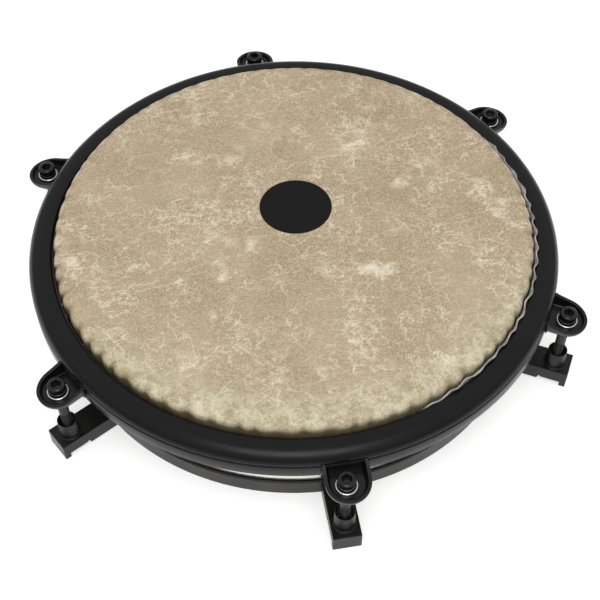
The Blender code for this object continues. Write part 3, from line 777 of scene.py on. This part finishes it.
def foot_mesh():
    """A foot with its filleted boss and the bolt's bore."""
    root = BOSS_BASE_R + BOSS_FILLET
    lip = 0.3 * MM
    boss = [(0.0, FOOT_TOP_Z - 3 * MM), (root - 0.05 * MM, FOOT_TOP_Z - 3 * MM),
            (root, FOOT_TOP_Z - 0.01 * MM)]
    boss += arc((root, FOOT_TOP_Z + BOSS_FILLET), BOSS_FILLET, 270.0, 180.0, 8)
    boss += [(BOSS_TOP_R, BOSS_TOP_Z - lip), (BOSS_TOP_R - 0.1 * MM, BOSS_TOP_Z - 0.1 * MM),
             (BOSS_TOP_R - lip, BOSS_TOP_Z), (0.0, BOSS_TOP_Z)]
    bore = [(0.0, BORE_BOTTOM_Z), (BORE_R, BORE_BOTTOM_Z), (BORE_R, BOSS_TOP_Z - 0.35 * MM),
            (BORE_R + 0.12 * MM, BOSS_TOP_Z - 0.12 * MM), (BORE_R + 0.35 * MM, BOSS_TOP_Z),
            (BORE_R + 0.4 * MM, BOSS_TOP_Z + MM), (0.0, BOSS_TOP_Z + MM)]
    seat = revolve("foot_seat", [(0.0, -MM), (FOOT_SEAT_R, -MM), (FOOT_SEAT_R, FOOT_TOP_Z + MM),
                                 (0.0, FOOT_TOP_Z + MM)], RIM_STEPS)
    seat.transform(Matrix.Translation((-BOLT_CIRCLE_R, 0.0, 0.0)))
    hole = revolve("foot_tapping", [(0.0, FOOT_SEAT_R - MM), (SCREW_R + 0.3 * MM, FOOT_SEAT_R - MM),
                                    (SCREW_R + 0.3 * MM, SCREW_TIP_R + 0.3 * MM),
                                    (0.0, SCREW_TIP_R + 0.3 * MM)], 24)
    hole.transform(Matrix.Translation((-BOLT_CIRCLE_R, 0.0, SCREW_Z)) @ Matrix.Rotation(math.pi / 2, 4, "Y"))
    mesh = carve("lug_arm", foot_block(), [
        (revolve("foot_boss", boss, 64), "UNION"), (revolve("foot_bore", bore, 64), "DIFFERENCE"),
        (seat, "DIFFERENCE"), (hole, "DIFFERENCE")])
    return even_normals(mesh)


def feet():
    mesh = foot_mesh()
    material = casting_material()
    for index in range(LUG_COUNT):
        number = index + 1
        obj = place(mesh, f"lug_arm_{number}", lug_matrix(index), material)
        fit(obj, "drum", "black_casting", f"lug_foot_{number}")


# Shell, base ring and foot screws

def screw_holes():
    """Six radial pins in one mesh, to cut the screws' holes."""
    work = bmesh.new()
    for index in range(LUG_COUNT):
        matrix = lug_matrix(index, 139.0 * MM, SCREW_Z) @ Matrix.Rotation(math.pi / 2, 4, "Y")
        bmesh.ops.create_cone(work, cap_ends=True, segments=32, radius1=SCREW_R + 0.3 * MM,
                              radius2=SCREW_R + 0.3 * MM, depth=12.0 * MM, matrix=matrix)
    return finish_mesh(work, "screw_holes")


def shell_body():
    rows = arc((SHELL_R - SHELL_EDGE, SHELL_TOP_Z - SHELL_EDGE), SHELL_EDGE, 90.0, 0.0, 8)
    rows += [(SHELL_R, SHELL_BOTTOM_Z + 0.3 * MM), (SHELL_R - 0.3 * MM, SHELL_BOTTOM_Z),
             (SHELL_INNER_R + 0.3 * MM, SHELL_BOTTOM_Z), (SHELL_INNER_R, SHELL_BOTTOM_Z + 0.3 * MM),
             (SHELL_INNER_R, SHELL_TOP_Z - 1.0 * MM), (SHELL_INNER_R + 0.3 * MM, SHELL_TOP_Z - 0.3 * MM)]
    blank = revolve("shell_body", rows, RIM_STEPS, closed=True)
    mesh = carve("shell_body", blank, [(screw_holes(), "DIFFERENCE")])
    fit(add_object("shell_body", mesh, shell_material()), "drum", "shell_metal", "shell")


def ring_band():
    ease = 0.25 * MM
    rows = [(RING_INNER_R, RING_TOP_Z - ease), (RING_INNER_R + ease, RING_TOP_Z),
            (RING_OUTER_R - ease, RING_TOP_Z), (RING_OUTER_R, RING_TOP_Z - ease),
            (RING_OUTER_R, SHELL_BOTTOM_Z + ease), (RING_OUTER_R - ease, SHELL_BOTTOM_Z),
            (RING_INNER_R + ease, SHELL_BOTTOM_Z), (RING_INNER_R, SHELL_BOTTOM_Z + ease)]
    blank = revolve("ring_band", rows, RIM_STEPS, closed=True)
    mesh = carve("ring_band", blank, [(screw_holes(), "DIFFERENCE")])
    fit(add_object("ring_band", mesh, ring_material()), "drum", "ring_grey", "base_ring")


def cross_row(size, height):
    """A row of the screw's cross recess."""
    def point(angle):
        return size * (0.32 + 0.68 * abs(math.cos(2.0 * angle)) ** 6), height
    return point


def screws():
    """Pan-head screws with a cross recess, driven outwards from inside the shell."""
    top = SCREW_HEAD_HEIGHT
    length = SCREW_TIP_R - SCREW_SEAT_R
    rows = [(0.0, top - 1.9 * MM), cross_row(0.9 * MM, top - 1.8 * MM), cross_row(2.3 * MM, top)]
    rows += [(SCREW_HEAD_R - 1.2 * MM, top)]
    rows += arc((SCREW_HEAD_R - 1.2 * MM, top - 1.2 * MM), 1.2 * MM, 75.0, 0.0, 5)
    rows += [(SCREW_HEAD_R, 0.1 * MM), (SCREW_HEAD_R - 0.1 * MM, 0.0), (SCREW_R, 0.0),
             (SCREW_R, 1.0 * MM - length), (SCREW_R - 0.6 * MM, -length), (0.0, -length)]
    mesh = revolve("pan_screw", rows, 64)
    material = zinc_material()
    inwards = Matrix.Rotation(-math.pi / 2, 4, "Y")
    for index in range(LUG_COUNT):
        number = index + 1
        matrix = lug_matrix(index, SCREW_SEAT_R, SCREW_Z) @ inwards
        obj = place(mesh, f"pan_screw_{number}", matrix, material)
        fit(obj, "drum", "zinc_steel", f"foot_screw_{number}")


# Materials

def node(tree, kind, inputs=None, **settings):
    """A shader node. Each input is given a value, or another node's output to link."""
    made = tree.nodes.new(kind)
    for key, value in settings.items():
        setattr(made, key, value)
    for key, value in (inputs or {}).items():
        if isinstance(value, bpy.types.NodeSocket):
            tree.links.new(value, made.inputs[key])
        else:
            made.inputs[key].default_value = value
    return made


def new_material(name):
    """A material with a bare Principled shader, and its place coordinates."""
    material = bpy.data.materials.new(name)
    material.use_nodes = True
    tree = material.node_tree
    shader = tree.nodes["Principled BSDF"]
    where = tree.nodes.new("ShaderNodeTexCoord").outputs["Object"]
    return material, tree, shader, where


def set_inputs(shader, values):
    for key, value in values.items():
        shader.inputs[key].default_value = value


def noise_of(tree, where, scale, detail=3.0, roughness=0.5):
    made = node(tree, "ShaderNodeTexNoise", {"Vector": where, "Scale": scale, "Detail": detail,
                                            "Roughness": roughness})
    return made.outputs["Fac"]


def math_of(tree, operation, first, second=0.0, clamp=False):
    made = node(tree, "ShaderNodeMath", {0: first, 1: second}, operation=operation, use_clamp=clamp)
    return made.outputs[0]


def ramp_of(tree, value, low, high, out_low=0.0, out_high=1.0):
    """A smooth step of a value from one range to another."""
    made = node(tree, "ShaderNodeMapRange", {"Value": value, "From Min": low, "From Max": high,
                                             "To Min": out_low, "To Max": out_high},
                interpolation_type="SMOOTHSTEP")
    return made.outputs["Result"]


def mix_of(tree, share, first, second):
    """A mix of two colours."""
    made = node(tree, "ShaderNodeMix", {0: share, 6: first, 7: second}, data_type="RGBA")
    return made.outputs[2]


def bump_of(tree, height, distance):
    made = node(tree, "ShaderNodeBump", {"Height": height, "Distance": distance, "Strength": 1.0})
    return made.outputs["Normal"]


def shifted(tree, where, offset):
    made = node(tree, "ShaderNodeVectorMath", {0: where, 1: offset}, operation="ADD")
    return made.outputs[0]


def patches(tree, where, scale, low, high, offset):
    """Soft patches, to break up lines."""
    field = noise_of(tree, shifted(tree, where, offset), scale, 3.0, 0.6)
    return ramp_of(tree, field, low, high)


def film_fibres(tree, where):
    """Broken fibres, straight ones that branch and frayed ones, in patches, and fuzzy white blots."""
    warp = node(tree, "ShaderNodeTexNoise", {"Vector": where, "Scale": 60.0, "Detail": 6.0,
                                            "Roughness": 0.7}).outputs["Color"]
    pulled = node(tree, "ShaderNodeVectorMath", {0: warp, 1: (0.011, 0.011, 0.011)},
                  operation="MULTIPLY").outputs[0]
    bent = node(tree, "ShaderNodeVectorMath", {0: where, 1: pulled}, operation="ADD").outputs[0]
    total = 0.0
    for straight, scale, width, stretch, turn, offset, cover, share in FIBRE_LAYERS:
        laid = node(tree, "ShaderNodeMapping", {
            "Vector": shifted(tree, bent if straight else where, offset), "Scale": stretch,
            "Rotation": (0.0, 0.0, math.radians(turn))}).outputs["Vector"]
        if straight:
            away = node(tree, "ShaderNodeTexVoronoi", {"Vector": laid, "Scale": scale},
                        feature="DISTANCE_TO_EDGE").outputs["Distance"]
        else:
            field = noise_of(tree, laid, scale, 9.0, 0.62)
            away = math_of(tree, "ABSOLUTE", math_of(tree, "SUBTRACT", field, 0.5))
        line = math_of(tree, "MULTIPLY", ramp_of(tree, away, width, 0.0),
                       patches(tree, where, 30.0, cover, cover + 0.13, offset))
        total = math_of(tree, "ADD", total, math_of(tree, "MULTIPLY", line, share))
    fuzz = ramp_of(tree, noise_of(tree, shifted(tree, where, (5.4, 1.2, 0.9)), 60.0, 10.0, 0.78),
                   0.50, 0.66)
    blots = math_of(tree, "MULTIPLY", fuzz, patches(tree, where, 18.0, 0.46, 0.62, (0.9, 3.3, 2.1)))
    flecks = math_of(tree, "MULTIPLY", ramp_of(tree, noise_of(tree, where, 900.0, 2.0, 0.6), 0.57, 0.70),
                     patches(tree, where, 35.0, 0.36, 0.62, (2.2, 0.6, 4.4)))
    total = math_of(tree, "ADD", total, math_of(tree, "MULTIPLY", flecks, 0.60))
    return math_of(tree, "ADD", total, math_of(tree, "MULTIPLY", blots, 0.95), clamp=True)


def film_rim_tint_and_highlight(tree, where, colour):
    """The greener, paler zone inside the near crest, and a painted highlight: the thin pale line along the
    far one.
    """
    split = node(tree, "ShaderNodeSeparateXYZ", {"Vector": where})
    flat = node(tree, "ShaderNodeVectorMath", {0: where, 1: (1.0, 1.0, 0.0)}, operation="MULTIPLY")
    radius = node(tree, "ShaderNodeVectorMath", {0: flat.outputs[0]}, operation="LENGTH").outputs["Value"]
    near = ramp_of(tree, split.outputs["Y"], -0.02, -0.12)
    zone = math_of(tree, "MULTIPLY", ramp_of(tree, radius, *NEAR_ZONE_R), near)
    green = mix_of(tree, math_of(tree, "MULTIPLY", zone, 0.65), colour, NEAR_GREEN)
    uneven = ramp_of(tree, noise_of(tree, where, 150.0, 6.0, 0.9), 0.42, 0.60, 0.0, 0.9)
    tinted = mix_of(tree, math_of(tree, "MULTIPLY", zone, uneven), green, NEAR_PALE)
    # painted highlight: a pale line along the far crest
    far = ramp_of(tree, split.outputs["Y"], -0.06, 0.03)
    line = math_of(tree, "MULTIPLY", ramp_of(tree, radius, *FAR_HIGHLIGHT_R), far)
    return mix_of(tree, math_of(tree, "MULTIPLY", line, 0.55), tinted, FAR_HIGHLIGHT_PALE)


def film_material():
    """Mottled beige film with pale fibres, with painted shade in the collar's hollows and down its wall, and
    one dark dot.
    """
    material, tree, shader, where = new_material("film")
    mottle = ramp_of(tree, noise_of(tree, where, 20.0, 8.0, 0.72), 0.32, 0.68)
    mottled = mix_of(tree, mottle, TAN_DARK, TAN_LIGHT)
    grain = noise_of(tree, where, 750.0, 4.0, 0.8)
    grained = mix_of(tree, ramp_of(tree, grain, 0.38, 0.66), mottled, GRAIN_TAN)
    fibre = film_fibres(tree, where)
    fibred = mix_of(tree, fibre, film_rim_tint_and_highlight(tree, where, grained), FIBRE_CREAM)
    hollow_shade = node(tree, "ShaderNodeAttribute", attribute_name="hollow").outputs["Fac"]
    # painted shade: the collar is browned by the per-point attribute
    shaded = mix_of(tree, hollow_shade, fibred, HOLLOW_SHADE_BROWN)
    away = node(tree, "ShaderNodeVectorMath", {0: where, 1: (*DOT_CENTRE, FILM_TOP)},
                operation="DISTANCE").outputs["Value"]
    dot = ramp_of(tree, away, DOT_RADIUS + DOT_BLUR, DOT_RADIUS - DOT_BLUR)
    tree.links.new(mix_of(tree, dot, shaded, DOT_BLACK), shader.inputs["Base Color"])
    tree.links.new(ramp_of(tree, grain, 0.2, 0.8, 0.50, 0.68), shader.inputs["Roughness"])
    relief = math_of(tree, "ADD", grain, math_of(tree, "MULTIPLY", fibre, 0.8))
    tree.links.new(bump_of(tree, relief, 0.00005), shader.inputs["Normal"])
    set_inputs(shader, {"Specular IOR Level": 0.22})
    return material


def film_edge_material():
    """The film's bare edge: pale and smooth at the top, and dark with painted shade down in the gap."""
    material, tree, shader, where = new_material("film_edge")
    cloud = noise_of(tree, where, 120.0, 3.0, 0.6)
    pale = mix_of(tree, ramp_of(tree, cloud, 0.3, 0.7), (0.280, 0.255, 0.225, 1.0),
                  (0.620, 0.595, 0.560, 1.0))
    height = node(tree, "ShaderNodeSeparateXYZ", {"Vector": where}).outputs["Z"]
    above = ramp_of(tree, height, RIM_TOP_Z - 2.2 * MM, RIM_TOP_Z - 0.9 * MM)
    # painted shade: the edge turns near black below the rim's top, down in the gap beside the collar
    tree.links.new(mix_of(tree, above, (0.016, 0.010, 0.006, 1.0), pale), shader.inputs["Base Color"])
    tree.links.new(ramp_of(tree, cloud, 0.3, 0.7, 0.22, 0.40), shader.inputs["Roughness"])
    tree.links.new(bump_of(tree, noise_of(tree, where, 700.0, 2.0), 0.00004), shader.inputs["Normal"])
    set_inputs(shader, {"Specular IOR Level": 0.6})
    return material


def coated(name, dark, light, rough, grain_scale, grain_height, specular):
    """Black coating on metal: a faint mottle, an uneven gloss and a fine grain."""
    material, tree, shader, where = new_material(name)
    mottle = noise_of(tree, where, 60.0, 4.0, 0.6)
    tree.links.new(mix_of(tree, mottle, dark, light), shader.inputs["Base Color"])
    tree.links.new(ramp_of(tree, mottle, 0.3, 0.7, *rough), shader.inputs["Roughness"])
    grain = noise_of(tree, where, grain_scale, 3.0, 0.6)
    tree.links.new(bump_of(tree, grain, grain_height), shader.inputs["Normal"])
    set_inputs(shader, {"Specular IOR Level": specular})
    return material


def hoop_material():
    return coated("black_hoop", (0.0055, 0.0055, 0.006, 1.0), (0.009, 0.009, 0.0095, 1.0),
                  (0.24, 0.32), 900.0, 0.00002, 0.21)


def ear_material():
    return coated("black_ear", (0.005, 0.005, 0.0055, 1.0), (0.008, 0.008, 0.0085, 1.0),
                  (0.18, 0.26), 900.0, 0.00002, 0.34)


def casting_material():
    return coated("black_casting", (0.005, 0.0045, 0.0045, 1.0), (0.010, 0.0095, 0.0095, 1.0),
                  (0.32, 0.44), 1400.0, 0.00004, 0.34)


def ring_material():
    return coated("ring_grey", (0.028, 0.026, 0.026, 1.0), (0.042, 0.040, 0.040, 1.0),
                  (0.38, 0.50), 1100.0, 0.00003, 0.4)


def bolt_material():
    """Black-oxide steel, polished on the head and dull below it."""
    material, tree, shader, where = new_material("black_bolt")
    mottle = noise_of(tree, where, 300.0, 3.0, 0.6)
    tree.links.new(mix_of(tree, mottle, (0.004, 0.004, 0.005, 1.0), (0.010, 0.009, 0.009, 1.0)),
                   shader.inputs["Base Color"])
    height = node(tree, "ShaderNodeSeparateXYZ", {"Vector": where}).outputs["Z"]
    rough = math_of(tree, "ADD", ramp_of(tree, mottle, 0.3, 0.7, 0.12, 0.20),
                    ramp_of(tree, height, BOLT_SEAT_Z, BOLT_SEAT_Z - MM, 0.0, 0.32))
    tree.links.new(rough, shader.inputs["Roughness"])
    tree.links.new(bump_of(tree, noise_of(tree, where, 1800.0, 2.0), 0.000006), shader.inputs["Normal"])
    set_inputs(shader, {"Specular IOR Level": 0.45})
    return material


def plated(name, head_shade_painted):
    """Bright plated steel, with painted shade where an attribute marks it."""
    material, tree, shader, where = new_material(name)
    mottle = noise_of(tree, where, 250.0, 3.0, 0.6)
    colour = mix_of(tree, mottle, (0.78, 0.77, 0.77, 1.0), (0.88, 0.87, 0.87, 1.0))
    if head_shade_painted:
        # painted shade: darkened where the attribute marks the shadow of the bolt's head
        painted_head_shade = node(tree, "ShaderNodeAttribute", attribute_name="painted_head_shade").outputs["Fac"]
        colour = mix_of(tree, painted_head_shade, colour, (0.060, 0.056, 0.054, 1.0))
    tree.links.new(colour, shader.inputs["Base Color"])
    tree.links.new(ramp_of(tree, mottle, 0.3, 0.7, 0.24, 0.32), shader.inputs["Roughness"])
    tree.links.new(bump_of(tree, noise_of(tree, where, 2500.0, 2.0), 0.000004), shader.inputs["Normal"])
    set_inputs(shader, {"Metallic": 1.0})
    return material


def zinc_material():
    return plated("zinc_steel", False)


def washer_material():
    return plated("washer_steel", True)


def shell_material():
    """Pale satin metal, brushed round the shell."""
    material, tree, shader, where = new_material("shell_metal")
    stretched = node(tree, "ShaderNodeMapping", {"Vector": where, "Scale": (12.0, 12.0, 900.0)})
    brush = noise_of(tree, stretched.outputs["Vector"], 1.0, 3.0, 0.6)
    tree.links.new(mix_of(tree, brush, (0.88, 0.84, 0.77, 1.0), (0.97, 0.95, 0.90, 1.0)),
                   shader.inputs["Base Color"])
    tree.links.new(ramp_of(tree, brush, 0.3, 0.7, 0.18, 0.28), shader.inputs["Roughness"])
    tree.links.new(bump_of(tree, brush, 0.00001), shader.inputs["Normal"])
    set_inputs(shader, {"Metallic": 1.0})
    return material


def dress_cad_nodes():
    """The hidden wire hoop and inserts keep their CAD shape, in plated steel."""
    material = zinc_material()
    names = ["flesh_hoop"] + [f"threaded_insert_{i + 1}" for i in range(LUG_COUNT)]
    for name in names:
        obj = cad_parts[name]
        obj.data.materials.clear()
        obj.data.materials.append(material)


# Floor, light and camera

def floor():
    """A wide white floor that the camera and reflections see as white, with the drum's shadow."""
    work = bmesh.new()
    bmesh.ops.create_grid(work, x_segments=1, y_segments=1, size=FLOOR_SIZE)
    mesh = bpy.data.meshes.new("floor")
    work.to_mesh(mesh)
    work.free()
    mesh.transform(Matrix.Translation((0.0, 0.0, -FLOOR_DROP)))
    material = bpy.data.materials.new("floor")
    material.use_nodes = True
    tree = material.node_tree
    output = tree.nodes["Material Output"]
    tree.nodes.remove(tree.nodes["Principled BSDF"])
    path = tree.nodes.new("ShaderNodeLightPath")
    seen = math_of(tree, "ADD", path.outputs["Is Camera Ray"], path.outputs["Is Glossy Ray"])
    seen = math_of(tree, "ADD", seen, path.outputs["Is Transmission Ray"], clamp=True)
    paint = node(tree, "ShaderNodeBsdfDiffuse", {"Color": FLOOR_COLOUR})
    strength = math_of(tree, "MULTIPLY", seen, FLOOR_LIFT)
    lift = node(tree, "ShaderNodeEmission", {"Color": WHITE, "Strength": strength})
    both = node(tree, "ShaderNodeAddShader", {0: paint.outputs[0], 1: lift.outputs[0]})
    tree.links.new(both.outputs[0], output.inputs["Surface"])
    add_object("floor", mesh, material)


def studio():
    """World: dim, and darker at the horizon, so that the black parts stay dark."""
    world = bpy.data.worlds.new("studio")
    bpy.context.scene.world = world
    world.use_nodes = True
    tree = world.node_tree
    background = tree.nodes["Background"]
    split = node(tree, "ShaderNodeSeparateXYZ",
                 {"Vector": tree.nodes.new("ShaderNodeTexCoord").outputs["Generated"]})
    strength = ramp_of(tree, split.outputs["Z"], WORLD_LOW_Z, WORLD_HIGH_Z, WORLD_LOW, WORLD_HIGH)
    tree.links.new(strength, background.inputs["Strength"])
    background.inputs["Color"].default_value = WHITE


def overhead_lamp():
    """A square softbox above and in front of the drum, facing it."""
    azimuth, elevation = math.radians(LAMP_AZIMUTH_DEG), math.radians(LAMP_ELEVATION_DEG)
    away = Vector((math.cos(azimuth) * math.cos(elevation), math.sin(azimuth) * math.cos(elevation),
                   math.sin(elevation)))
    lamp = bpy.data.lights.new("overhead", "AREA")
    lamp.shape = "SQUARE"
    lamp.size = LAMP_SIZE
    lamp.energy = LAMP_WATTS
    obj = bpy.data.objects.new("overhead", lamp)
    bpy.context.scene.collection.objects.link(obj)
    obj.location = away * LAMP_DISTANCE + Vector((0.0, 0.0, CAMERA_AIM_Z))
    obj.rotation_euler = away.to_track_quat("Z", "Y").to_euler()


def camera():
    """The photograph's viewpoint."""
    elevation = math.radians(CAMERA_ELEVATION_DEG)
    back = Vector((0.0, -math.cos(elevation), math.sin(elevation)))
    right = Vector((1.0, 0.0, 0.0))
    axes = Matrix((right, back.cross(right), back)).transposed()
    turn = Matrix.Rotation(CAMERA_PAN, 3, "Y") @ Matrix.Rotation(CAMERA_TILT, 3, "X")
    axes = axes @ turn @ Matrix.Rotation(CAMERA_ROLL, 3, "Z")
    about_z = Matrix.Rotation(math.radians(CAMERA_AZIMUTH_DEG + 90.0), 3, "Z")
    data = bpy.data.cameras.new("camera")
    data.lens = CAMERA_LENS_MM
    data.sensor_width = SENSOR_MM
    data.clip_start = 0.01
    obj = bpy.data.objects.new("camera", data)
    bpy.context.scene.collection.objects.link(obj)
    obj.matrix_world = (about_z @ axes).to_4x4()
    obj.location = about_z @ (back * CAMERA_DISTANCE) + Vector((0.0, 0.0, CAMERA_AIM_Z))
    bpy.context.scene.camera = obj


camera()
studio()
overhead_lamp()
floor()
film_head()
film_tuck()
rim_hoop()
rim_ears()
washers()
bolts()
feet()
shell_body()
ring_band()
screws()
dress_cad_nodes()
bpy.context.scene.view_settings.view_transform = "Standard"
